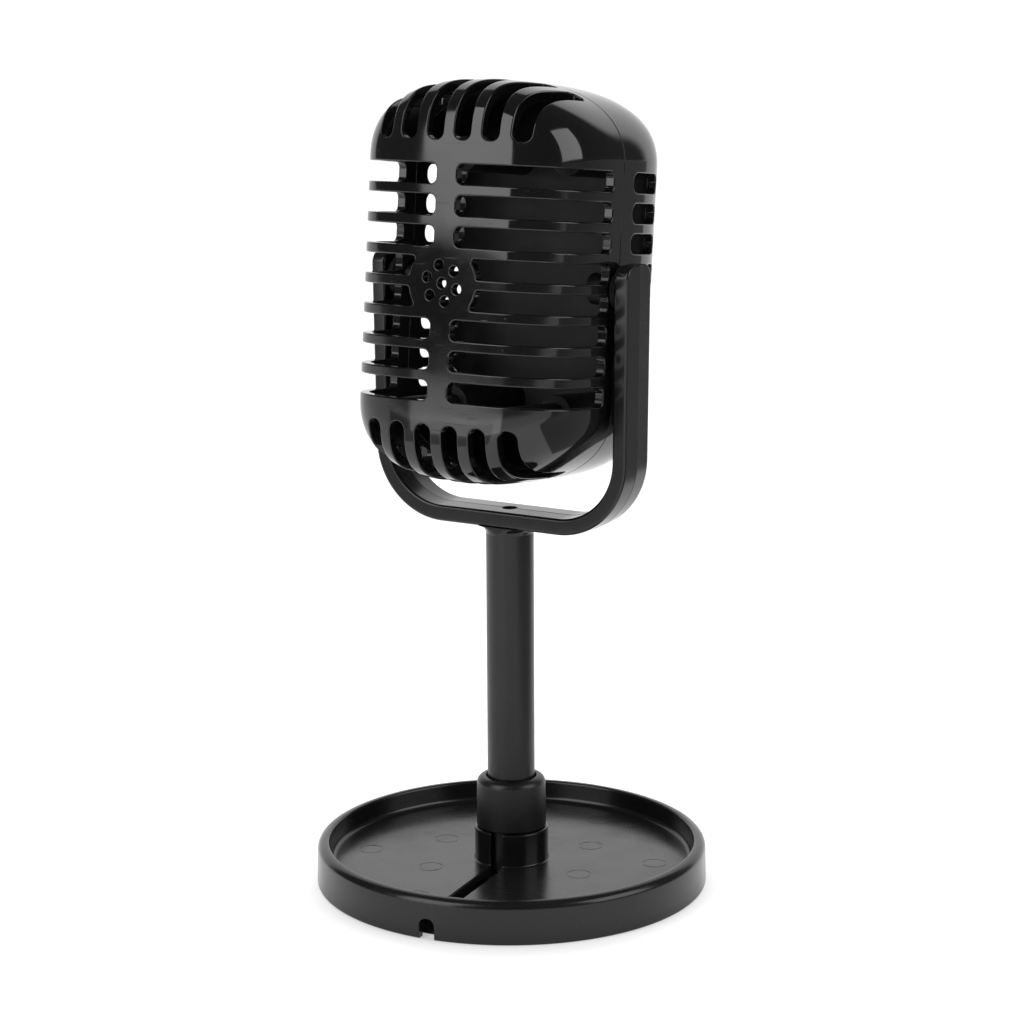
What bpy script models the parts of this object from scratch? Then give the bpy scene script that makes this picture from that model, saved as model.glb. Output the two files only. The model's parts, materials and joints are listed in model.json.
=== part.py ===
"""Toy table microphone: a slotted two-shell head tilts in a yoke, on a stem that swivels in a dish base."""
import math

import bmesh
import bpy
from mathutils import Matrix, Vector

MM = 0.001
GAP = 0.3 * MM              # running gap between pieces that touch

# Base dish
BASE_R = 50.0 * MM          # outer radius on the table
BASE_HEIGHT = 10.7 * MM
BASE_TAPER = 0.25 * MM      # the rim leans in by this much at its shoulder
BASE_SHOULDER_R = 2.0 * MM
BASE_RIM_IN_R = 46.8 * MM
FLOOR_TOP = 5.2 * MM
FLOOR_THICK = 2.0 * MM
BOSS_R = 9.4 * MM
BOSS_TOP = 13.8 * MM
CABLE_AZIMUTH = 7.0         # degrees from the front (-Y) towards +X
CABLE_SLOT = 3.4 * MM
NOTCH_WIDTH = 4.1 * MM
NOTCH_HEIGHT = 5.3 * MM

# Stem
SPIGOT_R = 7.8 * MM
COLLAR_R = 8.75 * MM
COLLAR_FLARE = 0.15 * MM
COLLAR_TOP = 27.3 * MM
COLLAR_SHOULDER_R = 2.0 * MM
TUBE_R = 6.02 * MM
TUBE_WALL = 1.0 * MM
PLUG_LENGTH = 16.0 * MM

# Yoke
YOKE_UNDER = 92.7 * MM      # underside of the cross bar
BAR_THICK = 4.4 * MM
ARM_THICK = 4.1 * MM
ARM_TOP = 160.0 * MM
YOKE_HALF_WIDTH = 36.43 * MM    # outer face where the corner ends
ARM_SPLAY = 0.61 * MM           # extra half width at the top of an arm
YOKE_DEPTH = 11.7 * MM
YOKE_CORNER_R = 19.5 * MM
ARM_TOP_R = 3.0 * MM
YOKE_EDGE_R = 0.7 * MM
YOKE_HOLE_R = 1.8 * MM

# Head
PIVOT_Z = 153.7 * MM
HEAD_TILT = -5.9            # degrees about X: the top leans back
HEAD_HALF_WIDTH = 30.9 * MM
HEAD_FRONT_DEPTH = 30.5 * MM    # from the split to the front
HEAD_BACK_DEPTH = 31.2 * MM
HEAD_HALF_HEIGHT = 49.1 * MM
WALL_HALF_HEIGHT = 29.4 * MM    # the walls are straight up to here, then domed
PLAN_POWER = 3.5                # superellipse power of the plan outline
DOME_SIDE_POWER = 2.2           # superellipse powers of the dome: round from side to side,
DOME_FRONT_POWER = 3.8          # squarer to the front
DOME_BACK_POWER = 3.2           # and to the back
SHELL_WALL = 2.4 * MM
HEAD_SEGMENTS = 44
DOME_RINGS = 8

# Slots in the head
SLOT_PITCH = 7.35 * MM
SLOT_ROWS = 8
SLOT_HEIGHT = 4.85 * MM
SPINE_HALF_WIDTH = 2.85 * MM
FRONT_SLOT_END_Y = -4.5 * MM
BACK_SLOT_Y = (5.3 * MM, 20.2 * MM)
ARM_SLOTS_Y = ((11.5 * MM, 22.5 * MM), (14.6 * MM, 22.5 * MM))    # the middle rows, behind the arms
BACK_SLOT_X = 22.0 * MM
TOP_SLOT_PITCH = 7.55 * MM
TOP_SLOT_COUNT = 6
TOP_SLOT_WIDTH = 4.4 * MM
TOP_SLOT_START_Z = 33.8 * MM
TOP_SLOT_END_Y = -3.0 * MM
SLOT_END_R = 1.5 * MM
SLOT_END_STEPS = 2
ROSETTE_R = 9.5 * MM
ROSETTE_HOLE_R = 1.2 * MM
ROSETTE_RING_R = 4.4 * MM
ROSETTE_HOLES = 6
ROSETTE_TURN = 13.3             # degrees, anticlockwise as seen from the front

# Fastenings
PIN_R = 1.9 * MM
PIN_BORE_R = PIN_R + GAP
PIN_FLANGE_R = 3.0 * MM
PIN_FLANGE_THICK = 1.3 * MM
PIN_BOSS_R = 3.85 * MM
PIN_BOSS_X = 24.0 * MM
PIN_FLANGE_X = 25.8 * MM
PIN_IN_ARM = 2.4 * MM
WASHER_R = 5.0 * MM
SCREW_AT = (15.0 * MM, 31.0 * MM)   # shell screw centres, to each side and up and down
SCREW_SEAT_Y = 10.0 * MM
SCREW_HEAD_R = 2.6 * MM
SCREW_HEAD_HEIGHT = 1.8 * MM
SCREW_SHANK_R = 1.2 * MM
SCREW_REACH = 8.0 * MM              # into the front shell, past the split
FRONT_BOSS_R = 2.7 * MM
BACK_BOSS_R = 4.4 * MM
FASTENER_STEPS = 16

FAR = 60.0 * MM                     # well clear of the head, for cutters


def clear_scene():
    """Remove every object that the scene starts with."""
    for obj in list(bpy.data.objects):
        bpy.data.objects.remove(obj, do_unlink=True)


def new_collection(name):
    """Make a collection in the scene."""
    collection = bpy.data.collections.new(name)
    bpy.context.scene.collection.children.link(collection)
    return collection


def plastic(name, color, roughness, metallic=0.0):
    """Make a plain Principled material."""
    material = bpy.data.materials.new(name)
    material.use_nodes = True
    shader = material.node_tree.nodes["Principled BSDF"]
    shader.inputs["Base Color"].default_value = (*color, 1.0)
    shader.inputs["Roughness"].default_value = roughness
    shader.inputs["Metallic"].default_value = metallic
    return material


def add_object(name, mesh, collection, material=None, parent=None):
    """Put a mesh in the scene as a named object."""
    obj = bpy.data.objects.new(name, mesh)
    collection.objects.link(obj)
    if material:
        mesh.materials.append(material)
    obj.parent = parent
    return obj


def mesh_from(bm, name, smooth=False):
    """Finish a bmesh as a mesh."""
    mesh = bpy.data.meshes.new(name)
    bmesh.ops.recalc_face_normals(bm, faces=bm.faces)
    bm.to_mesh(mesh)
    bm.free()
    if smooth:
        mesh.shade_smooth()
        mesh.set_sharp_from_angle(angle=math.radians(35))
    return mesh


def arc(centre, radius, start, end, count):
    """Points along an arc, angles in degrees."""
    points = []
    for step in range(count + 1):
        angle = math.radians(start + (end - start) * step / count)
        points.append((centre[0] + radius * math.cos(angle), centre[1] + radius * math.sin(angle)))
    return points


def turned(name, profile, collection, material, parent=None, steps=FASTENER_STEPS, closed=False):
    """Turn a profile of (radius, height) points about Z; it runs down its outer side."""
    mesh = bpy.data.meshes.new(name)
    count = len(profile)
    edges = [(index, index + 1) for index in range(count - 1)]
    if closed:
        edges.append((count - 1, 0))
    mesh.from_pydata([(radius, 0, height) for radius, height in profile], edges, [])
    obj = add_object(name, mesh, collection, material, parent)
    screw = obj.modifiers.new("turn", "SCREW")
    screw.steps = steps
    screw.render_steps = steps
    screw.use_merge_vertices = True
    screw.merge_threshold = 0.00001
    screw.use_smooth_shade = True
    return obj


def add_box(bm, low, high, turn=None):
    """Add a box between two corners, turned about Z if asked."""
    centre = (Vector(low) + Vector(high)) / 2
    size = Vector(high) - Vector(low)
    place = Matrix.Translation(centre) @ Matrix.Diagonal((*size, 1.0))
    if turn is not None:
        place = turn @ place
    bmesh.ops.create_cube(bm, size=1.0, matrix=place)


def add_rod(bm, centre, axis, radius, start, end, segments=FASTENER_STEPS):
    """Add a cylinder along X, Y or Z through a point, between two places on that axis."""
    turns = {"X": Matrix.Rotation(math.pi / 2, 4, "Y"), "Y": Matrix.Rotation(math.pi / 2, 4, "X"),
             "Z": Matrix.Identity(4)}
    middle = Vector(centre)
    middle["XYZ".index(axis)] = (start + end) / 2
    bmesh.ops.create_cone(bm, cap_ends=True, segments=segments, radius1=radius, radius2=radius,
                          depth=end - start, matrix=Matrix.Translation(middle) @ turns[axis])


def cutter(name, bm, parent=None):
    """Turn a bmesh into a hidden cutter object."""
    obj = add_object(name, mesh_from(bm, name), CUTTERS, parent=parent)
    obj.hide_render = True
    obj.display_type = "WIRE"
    return obj


def cut(obj, tool):
    """Take one solid away from another."""
    boolean = obj.modifiers.new("cut_" + tool.name, "BOOLEAN")
    boolean.operation = "DIFFERENCE"
    boolean.solver = "EXACT"
    boolean.object = tool
    return boolean


def round_edges(obj, width, segments):
    """Round the sharp edges of an object."""
    bevel = obj.modifiers.new("round", "BEVEL")
    bevel.width = width
    bevel.segments = segments
    bevel.limit_method = "ANGLE"
    bevel.angle_limit = math.radians(40)
    return bevel


def outline_solid(name, outline, depth, collection, material):
    """Extrude a closed outline drawn in the XZ plane, centred on Y, and make it a mesh."""
    curve = bpy.data.curves.new(name, "CURVE")
    curve.dimensions = "2D"
    curve.fill_mode = "BOTH"
    curve.extrude = depth / 2
    spline = curve.splines.new("POLY")
    spline.points.add(len(outline) - 1)
    for point, (across, up) in zip(spline.points, outline):
        point.co = (across, up, 0, 1)
    spline.use_cyclic_u = True
    drawn = bpy.data.objects.new(name + "_outline", curve)
    collection.objects.link(drawn)
    bpy.context.view_layer.update()
    solid = bpy.data.meshes.new_from_object(drawn.evaluated_get(bpy.context.evaluated_depsgraph_get()))
    bpy.data.objects.remove(drawn)
    bm = bmesh.new()
    bm.from_mesh(solid)
    bpy.data.meshes.remove(solid)
    bmesh.ops.remove_doubles(bm, verts=bm.verts, dist=0.000001)
    bmesh.ops.rotate(bm, verts=bm.verts, matrix=Matrix.Rotation(math.pi / 2, 3, "X"))
    return add_object(name, mesh_from(bm, name), collection, material)


def drawn_in(share, power):
    """The other coordinate of a superellipse of radius 1."""
    return (1 - min(share, 1.0) ** power) ** (1 / power)


def head_skin(bm, inset):
    """Add the head's domed block as a mapped sphere, smaller all round by a wall's thickness."""
    rings = 1 + DOME_RINGS
    half_width = HEAD_HALF_WIDTH - inset
    dome_height = HEAD_HALF_HEIGHT - inset - WALL_HALF_HEIGHT
    sphere = bmesh.ops.create_uvsphere(bm, u_segments=HEAD_SEGMENTS, v_segments=2 * rings, radius=1.0)
    for vert in sphere["verts"]:
        latitude = math.asin(max(-1.0, min(1.0, vert.co.z)))
        ring = round(abs(latitude) / (math.pi / 2) * rings)
        climb = max(ring - 1, 0) / DOME_RINGS
        rise = math.sin(math.pi / 2 * climb) ** (2 / DOME_SIDE_POWER)
        height = WALL_HALF_HEIGHT * min(ring, 1) + dome_height * rise
        angle = math.atan2(vert.co.y, vert.co.x)
        across = abs(math.cos(angle)) ** (2 / PLAN_POWER) * drawn_in(rise, DOME_SIDE_POWER)
        dome_power = DOME_FRONT_POWER if vert.co.y < 0 else DOME_BACK_POWER
        half_depth = (HEAD_FRONT_DEPTH if vert.co.y < 0 else HEAD_BACK_DEPTH) - inset
        along = abs(math.sin(angle)) ** (2 / PLAN_POWER) * drawn_in(rise, dome_power)
        vert.co = (math.copysign(across * half_width, vert.co.x),
                   math.copysign(along * half_depth, vert.co.y),
                   math.copysign(height, latitude))


def base_parts():
    """The dish base, and the washer and screw that hold the stem in it from below."""
    floor_under = FLOOR_TOP - FLOOR_THICK
    shoulder = (BASE_R - BASE_TAPER - BASE_SHOULDER_R, BASE_HEIGHT - BASE_SHOULDER_R)
    bore_r = SPIGOT_R + GAP
    rim_wall = 2.1 * MM
    fillet = 1.0 * MM
    edge = 0.4 * MM
    profile = [(BASE_RIM_IN_R, BASE_HEIGHT)]
    profile += reversed(arc(shoulder, BASE_SHOULDER_R, 0, 90, 4))
    profile += [(BASE_R, edge), (BASE_R - edge, 0), (BASE_R - rim_wall, 0)]
    profile += [(BASE_R - rim_wall - edge, floor_under), (bore_r, floor_under)]
    profile += [(bore_r, BOSS_TOP), (BOSS_R, BOSS_TOP), (BOSS_R, FLOOR_TOP)]
    profile += [(BASE_RIM_IN_R - edge - fillet, FLOOR_TOP), (BASE_RIM_IN_R - edge, FLOOR_TOP + fillet)]
    dish = turned("base_dish", profile, PARTS, SATIN, steps=48, closed=True)

    facing = Matrix.Rotation(math.radians(CABLE_AZIMUTH), 4, "Z")
    bm = bmesh.new()
    slot_start = SPIGOT_R - 1.0 * MM
    slot_end = BASE_RIM_IN_R - edge - fillet
    add_box(bm, (-CABLE_SLOT / 2, -slot_end, -1 * MM), (CABLE_SLOT / 2, -slot_start, BOSS_TOP + 1 * MM),
            facing)
    cut(dish, cutter("cable_slot_cutter", bm))
    bm = bmesh.new()
    inner = BASE_R - 4.5 * MM
    add_box(bm, (-NOTCH_WIDTH / 2, -BASE_R - 2 * MM, -4 * MM), (NOTCH_WIDTH / 2, -inner, NOTCH_HEIGHT),
            facing)
    notch = cutter("cable_notch_cutter", bm)
    round_edges(notch, NOTCH_WIDTH / 2 * 0.9, 3)
    cut(dish, notch)

    washer_top = floor_under - GAP
    washer_r = 12.0 * MM
    washer_under = washer_top - 1.0 * MM
    screw_r = 1.3 * MM
    turned("base_washer", [(washer_r, washer_top), (washer_r, washer_under), (screw_r + GAP, washer_under),
                           (screw_r + GAP, washer_top)], PARTS, STEEL, closed=True)
    head_top = washer_under - GAP
    head_under = head_top - 1.2 * MM
    screw_top = 7.4 * MM
    screw_head_r = 2.9 * MM
    turned("base_screw", [(0, screw_top), (screw_r, screw_top - 0.4 * MM), (screw_r, head_top),
                          (screw_head_r, head_top), (screw_head_r, head_under + 0.4 * MM),
                          (screw_head_r - 0.4 * MM, head_under), (0, head_under)], PARTS, STEEL)
    return floor_under, screw_r


def stem_parts(floor_under, screw_r):
    """The collar, the tube and the plug at the tube's top."""
    collar_under = floor_under
    ledge = BOSS_TOP + GAP
    socket_floor = 8.0 * MM
    socket_r = TUBE_R + GAP
    centre = (COLLAR_R - COLLAR_SHOULDER_R, COLLAR_TOP - COLLAR_SHOULDER_R)
    profile = list(reversed(arc(centre, COLLAR_SHOULDER_R, 0, 90, 4)))
    profile += [(COLLAR_R + COLLAR_FLARE, ledge), (SPIGOT_R, ledge), (SPIGOT_R, collar_under)]
    profile += [(screw_r + GAP, collar_under), (screw_r + GAP, socket_floor), (socket_r, socket_floor)]
    profile += [(socket_r, COLLAR_TOP - GAP)]
    turned("stem_collar", profile, PARTS, SATIN, steps=32, closed=True)

    tube_top = YOKE_UNDER - GAP
    bore_r = TUBE_R - TUBE_WALL
    turned("stem_tube", [(TUBE_R, tube_top), (TUBE_R, socket_floor + GAP), (bore_r, socket_floor + GAP),
                         (bore_r, tube_top)], PARTS, SATIN, steps=32, closed=True)

    plug_r = bore_r - GAP
    plug_under = tube_top - PLUG_LENGTH
    pilot_r = 1.3 * MM
    pilot_floor = plug_under + 2.0 * MM
    turned("stem_top_plug", [(0, pilot_floor), (pilot_r, pilot_floor), (pilot_r, tube_top),
                             (plug_r, tube_top), (plug_r, plug_under), (0, plug_under)], PARTS, SATIN)
    return pilot_floor


def yoke_outline():
    """The yoke's U as a closed outline, its right half mirrored to the left."""
    inner_r = YOKE_CORNER_R - ARM_THICK
    centre = (YOKE_HALF_WIDTH - YOKE_CORNER_R, YOKE_UNDER + YOKE_CORNER_R)
    inner_centre = (centre[0], YOKE_UNDER + BAR_THICK + inner_r)
    half = arc(centre, YOKE_CORNER_R, -90, 0, 8)
    half += [(YOKE_HALF_WIDTH + ARM_SPLAY, ARM_TOP), (YOKE_HALF_WIDTH + ARM_SPLAY - ARM_THICK, ARM_TOP)]
    half += reversed(arc(inner_centre, inner_r, -90, 0, 8))
    return half + [(-across, up) for across, up in reversed(half)]


def yoke_parts(pilot_floor):
    """The yoke, with a blind pivot hole in each arm, and its screw."""
    yoke = outline_solid("yoke", yoke_outline(), YOKE_DEPTH, PARTS, SATIN)
    bm = bmesh.new()
    bm.from_mesh(yoke.data)
    tops = [edge for edge in bm.edges
            if all(vert.co.z > ARM_TOP - 0.01 * MM for vert in edge.verts)
            and abs(edge.verts[0].co.y - edge.verts[1].co.y) < 0.01 * MM]
    bmesh.ops.bevel(bm, geom=tops, offset=ARM_TOP_R, segments=4, profile=0.5, affect="EDGES")
    bm.to_mesh(yoke.data)
    bm.free()
    round_edges(yoke, YOKE_EDGE_R, 2)

    arm_face = arm_inner_x()
    bm = bmesh.new()
    for side in (-1, 1):
        ends = sorted((side * (arm_face - 3 * MM), side * (arm_face + PIN_IN_ARM + GAP)))
        add_rod(bm, (0, 0, PIVOT_Z), "X", PIN_BORE_R, *ends)
    cut(yoke, cutter("yoke_pivot_cutter", bm))

    seat = YOKE_UNDER + 1.9 * MM
    shank_hole_r = 1.3 * MM
    bm = bmesh.new()
    add_rod(bm, (0, 0, 0), "Z", YOKE_HOLE_R, seat, seat + 10 * MM)
    cut(yoke, cutter("yoke_counterbore_cutter", bm))
    bm = bmesh.new()
    add_rod(bm, (0, 0, 0), "Z", shank_hole_r, seat - 10 * MM, seat + 1 * MM)
    cut(yoke, cutter("yoke_screw_hole_cutter", bm))

    head_under = seat + GAP
    head_top = head_under + 1.3 * MM
    head_r = YOKE_HOLE_R - GAP
    shank_r = shank_hole_r - GAP
    turned("yoke_screw", [(0, head_top), (head_r, head_top), (head_r, head_under), (shank_r, head_under),
                          (shank_r, pilot_floor + 1 * MM), (0, pilot_floor + GAP)], PARTS, STEEL)


def arm_inner_x():
    """Where an arm's inner face is at the pivot's height."""
    corner_z = YOKE_UNDER + YOKE_CORNER_R
    share = (PIVOT_Z - corner_z) / (ARM_TOP - corner_z)
    return YOKE_HALF_WIDTH + ARM_SPLAY * share - ARM_THICK


def pivot_parts(axis):
    """A flanged pin and a friction washer at each side of the head."""
    washer_low = HEAD_HALF_WIDTH + GAP
    washer_high = arm_inner_x() - GAP
    pin_end = arm_inner_x() + PIN_IN_ARM
    pin_start = PIN_BOSS_X + GAP
    flange_end = PIN_FLANGE_X + PIN_FLANGE_THICK
    for side, label in ((-1, "left"), (1, "right")):
        turn = Matrix.Rotation(side * math.pi / 2, 4, "Y")
        pin = turned("pivot_pin_" + label, [(0, pin_end), (PIN_R, pin_end), (PIN_R, flange_end),
                                            (PIN_FLANGE_R, flange_end), (PIN_FLANGE_R, PIN_FLANGE_X),
                                            (PIN_R, PIN_FLANGE_X), (PIN_R, pin_start), (0, pin_start)],
                     PARTS, STEEL, parent=axis)
        pin.matrix_local = turn
        washer = turned("friction_washer_" + label,
                        [(WASHER_R, washer_high), (WASHER_R, washer_low), (PIN_BORE_R, washer_low),
                         (PIN_BORE_R, washer_high)], PARTS, RUBBER, closed=True)
        washer.matrix_local = Matrix.Translation((0, 0, PIVOT_Z)) @ turn


def screw_places():
    """Each shell screw's label and its place in the head's XZ plane."""
    for up, row in ((1, "upper"), (-1, "lower")):
        for side, label in ((-1, "left"), (1, "right")):
            yield row + "_" + label, side * SCREW_AT[0], up * SCREW_AT[1]


def head_half(name, front, axis):
    """One half of the head's hollow shell, with its screw and pivot bosses but no slots."""
    bm = bmesh.new()
    head_skin(bm, 0.0)
    shell = add_object(name, mesh_from(bm, name, smooth=True), PARTS, GLOSS, axis)

    label = "front" if front else "back"
    bm = bmesh.new()
    for _, across, up in screw_places():
        if front:
            add_rod(bm, (across, 0, up), "Y", FRONT_BOSS_R, -FAR, 1 * MM)
        else:
            add_rod(bm, (across, 0, up), "Y", BACK_BOSS_R, -1 * MM, FAR)
    for side in (-1, 1):
        ends = sorted((side * PIN_BOSS_X, side * FAR))
        add_rod(bm, (0, 0, 0), "X", PIN_BOSS_R, *ends)
    bosses = cutter(label + "_boss_stock", bm, axis)

    bm = bmesh.new()
    head_skin(bm, SHELL_WALL)
    cavity = cutter(label + "_cavity_cutter", bm, axis)
    cut(cavity, bosses)
    cut(shell, cavity)

    bm = bmesh.new()
    if front:
        add_box(bm, (-FAR, -GAP / 2, -FAR), (FAR, FAR, FAR))
    else:
        add_box(bm, (-FAR, -FAR, -FAR), (FAR, GAP / 2, FAR))
    cut(shell, cutter(label + "_split_cutter", bm, axis))
    return shell


def pivot_cutter(label, axis):
    """The bores and flange pockets that the pivot pins lie in."""
    bm = bmesh.new()
    for side in (-1, 1):
        bore = sorted((side * (PIN_BOSS_X - 2 * MM), side * (HEAD_HALF_WIDTH + 2 * MM)))
        add_rod(bm, (0, 0, 0), "X", PIN_BORE_R, *bore)
    bores = cutter(label + "_pivot_bore_cutter", bm, axis)
    bm = bmesh.new()
    for side in (-1, 1):
        pocket = sorted((side * (PIN_FLANGE_X - GAP), side * (PIN_FLANGE_X + PIN_FLANGE_THICK + GAP)))
        add_rod(bm, (0, 0, 0), "X", PIN_FLANGE_R + GAP, *pocket)
    pockets = cutter(label + "_pivot_pocket_cutter", bm, axis)
    return bores, pockets


def slot_heights():
    """The centre height of each row of side slots."""
    middle = (SLOT_ROWS - 1) / 2
    return [SLOT_PITCH * (row - middle) for row in range(SLOT_ROWS)]


def front_shell(axis):
    """The front half: wrapping slots, dome slots and the rosette of sound holes."""
    shell = head_half("head_front_shell", True, axis)

    bm = bmesh.new()
    for height in slot_heights():
        low = height - SLOT_HEIGHT / 2
        high = height + SLOT_HEIGHT / 2
        add_box(bm, (SPINE_HALF_WIDTH, -FAR, low), (FAR, FRONT_SLOT_END_Y, high))
        add_box(bm, (-FAR, -FAR, low), (-SPINE_HALF_WIDTH, FRONT_SLOT_END_Y, high))
    slots = cutter("front_slot_cutter", bm, axis)
    round_edges(slots, SLOT_END_R, SLOT_END_STEPS)
    bm = bmesh.new()
    add_rod(bm, (0, 0, 0), "Y", ROSETTE_R, -2 * FAR, -1 * MM, 32)
    cut(slots, cutter("rosette_stock", bm, axis))
    cut(shell, slots)

    bm = bmesh.new()
    middle = (TOP_SLOT_COUNT - 1) / 2
    for column in range(TOP_SLOT_COUNT):
        centre = TOP_SLOT_PITCH * (column - middle)
        low = centre - TOP_SLOT_WIDTH / 2
        high = centre + TOP_SLOT_WIDTH / 2
        add_box(bm, (low, -FAR, TOP_SLOT_START_Z), (high, TOP_SLOT_END_Y, FAR))
        add_box(bm, (low, -FAR, -FAR), (high, TOP_SLOT_END_Y, -TOP_SLOT_START_Z))
    dome_slots = cutter("dome_slot_cutter", bm, axis)
    round_edges(dome_slots, SLOT_END_R, SLOT_END_STEPS)
    cut(shell, dome_slots)

    bm = bmesh.new()
    add_rod(bm, (0, 0, 0), "Y", ROSETTE_HOLE_R, -FAR, -10 * MM, 10)
    for hole in range(ROSETTE_HOLES):
        angle = math.radians(90 + ROSETTE_TURN + 360 / ROSETTE_HOLES * hole)
        place = (ROSETTE_RING_R * math.cos(angle), 0, ROSETTE_RING_R * math.sin(angle))
        add_rod(bm, place, "Y", ROSETTE_HOLE_R, -FAR, -10 * MM, 10)
    for _, across, up in screw_places():
        add_rod(bm, (across, 0, up), "Y", SCREW_SHANK_R + GAP, -SCREW_REACH - 2 * GAP, 1 * MM, 12)
    cut(shell, cutter("front_hole_cutter", bm, axis))
    for tool in pivot_cutter("front", axis):
        cut(shell, tool)


def back_shell(axis):
    """The back half: short side slots and the four screw wells."""
    shell = head_half("head_back_shell", False, axis)

    bm = bmesh.new()
    for height in slot_heights():
        low = height - SLOT_HEIGHT / 2
        high = height + SLOT_HEIGHT / 2
        start, end = BACK_SLOT_Y
        if abs(height) < SLOT_PITCH:
            start, end = ARM_SLOTS_Y[height > 0]
        add_box(bm, (BACK_SLOT_X, start, low), (FAR, end, high))
        add_box(bm, (-FAR, start, low), (-BACK_SLOT_X, end, high))
    slots = cutter("back_slot_cutter", bm, axis)
    round_edges(slots, SLOT_END_R, SLOT_END_STEPS)
    cut(shell, slots)

    wells = bmesh.new()
    holes = bmesh.new()
    for _, across, up in screw_places():
        add_rod(wells, (across, 0, up), "Y", SCREW_HEAD_R + GAP, SCREW_SEAT_Y, FAR)
        add_rod(holes, (across, 0, up), "Y", SCREW_SHANK_R + GAP, -1 * MM, SCREW_SEAT_Y + 1 * MM, 12)
    cut(shell, cutter("screw_well_cutter", wells, axis))
    cut(shell, cutter("screw_hole_cutter", holes, axis))
    for tool in pivot_cutter("back", axis):
        cut(shell, tool)


def shell_screws(axis):
    """The four screws that hold the back shell to the front one."""
    head_under = SCREW_SEAT_Y + GAP
    head_top = head_under + SCREW_HEAD_HEIGHT
    edge = 0.6 * MM
    for label, across, up in screw_places():
        screw = turned("shell_screw_" + label,
                       [(0, head_top), (SCREW_HEAD_R - edge, head_top), (SCREW_HEAD_R, head_top - edge),
                        (SCREW_HEAD_R, head_under), (SCREW_SHANK_R, head_under),
                        (SCREW_SHANK_R, edge - SCREW_REACH), (0, -SCREW_REACH)], PARTS, STEEL,
                       parent=axis, steps=16)
        screw.matrix_local = Matrix.Translation((across, 0, up)) @ Matrix.Rotation(-math.pi / 2, 4, "X")


def head_axis():
    """The empty on the tilt axis that carries the head."""
    axis = bpy.data.objects.new("head_tilt_axis", None)
    axis.empty_display_size = 10 * MM
    axis.location = (0, 0, PIVOT_Z)
    axis.rotation_euler = (math.radians(HEAD_TILT), 0, 0)
    PARTS.objects.link(axis)
    return axis


def main():
    floor_under, screw_r = base_parts()
    pilot_floor = stem_parts(floor_under, screw_r)
    yoke_parts(pilot_floor)
    axis = head_axis()
    pivot_parts(axis)
    front_shell(axis)
    back_shell(axis)
    shell_screws(axis)


clear_scene()
PARTS = new_collection("toy_microphone")
CUTTERS = new_collection("cutters")
GLOSS = plastic("gloss_black", (0.012, 0.012, 0.013), 0.16)
SATIN = plastic("satin_black", (0.018, 0.018, 0.019), 0.38)
STEEL = plastic("screw_steel", (0.46, 0.46, 0.48), 0.32, 1.0)
RUBBER = plastic("black_rubber", (0.03, 0.03, 0.03), 0.8)
main()
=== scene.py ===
"""Looks of a toy table microphone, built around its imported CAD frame."""
import json
import math

import bmesh
import bpy
import numpy as np
from mathutils import Matrix, Vector
from mathutils.geometry import delaunay_2d_cdt


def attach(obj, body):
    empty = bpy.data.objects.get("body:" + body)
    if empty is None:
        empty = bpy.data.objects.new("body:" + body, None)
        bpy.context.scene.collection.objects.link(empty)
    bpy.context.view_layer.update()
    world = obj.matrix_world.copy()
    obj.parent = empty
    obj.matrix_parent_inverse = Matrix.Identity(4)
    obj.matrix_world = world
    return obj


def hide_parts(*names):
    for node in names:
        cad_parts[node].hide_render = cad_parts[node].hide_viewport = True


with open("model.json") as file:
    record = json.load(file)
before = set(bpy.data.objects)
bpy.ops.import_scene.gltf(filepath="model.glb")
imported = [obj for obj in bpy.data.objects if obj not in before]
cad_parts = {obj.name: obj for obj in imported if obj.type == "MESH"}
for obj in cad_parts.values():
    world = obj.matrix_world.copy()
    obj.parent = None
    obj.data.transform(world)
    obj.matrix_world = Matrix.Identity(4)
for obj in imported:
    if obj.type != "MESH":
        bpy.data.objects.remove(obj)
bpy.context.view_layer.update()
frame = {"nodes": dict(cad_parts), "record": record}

MM = 0.001

# Head form, in mm, about the tilt axis
HALF_WIDTH = 30.9
DEPTHS = {-1: 30.5, 1: 31.2}        # front and back, from the split
WALL_TOP = 29.4                     # the walls are straight up to here, then domed
DOME_HEIGHT = 19.7
PLAN_POWER = 3.5
SIDE_POWER = 2.2
DEPTH_POWERS = {-1: 3.8, 1: 3.2}
SHELL_WALL = 2.4
SPLIT = 0.08                        # each half stops this far from the split plane
PIVOT_Z = 153.7
HEAD_TILT = -5.9

# Openings in the head
SLOT_PITCH = 7.35
SLOT_HEIGHT = 4.85
SLOT_ROWS = 8
SPINE = 2.85                        # half width of the front spine
FRONT_END_Y = 4.5
BACK_SLOT_Y = (5.3, 20.2)
ARM_SLOTS_Y = {3: (11.5, 22.5), 4: (14.6, 22.5)}    # the middle rows, behind the arms
DOME_PITCH = 7.55
DOME_SLOT_WIDTH = 4.4
DOME_START_Z = 33.8
DOME_END_Y = 3.0
DOME_COLUMNS = 6
FRONT_CORNER_R = 1.6
BACK_CORNER_R = 2.2
DOME_START_R = (1.85, 2.12)         # the dome slots' ends next to the wall, above and below
ROSETTE_R = 9.5
ROSETTE_HOLE_R = 1.2
ROSETTE_RING_R = 4.4
ROSETTE_TURN = 13.3
BORE_R = 2.2
SCREW_AT = (15.0, 31.0)
WELL_R = 2.9
WELL_SEAT_Y = 10.0
BACK_BOSS_R = 4.4
SHANK_HOLE_R = 1.5
FRONT_BOSS_R = 2.45
FRONT_HOLE_END_Y = 8.6
PIN_BOSS_R = 3.85
PIN_BOSS_X = (24.0, 28.95)          # from its inner face to the shell's wall
OUTER_EDGE = 0.38                   # roundings of the openings, outside and inside
INNER_EDGE = 0.2
SEAM_EDGE = 0.16                    # rounding along the split

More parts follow.
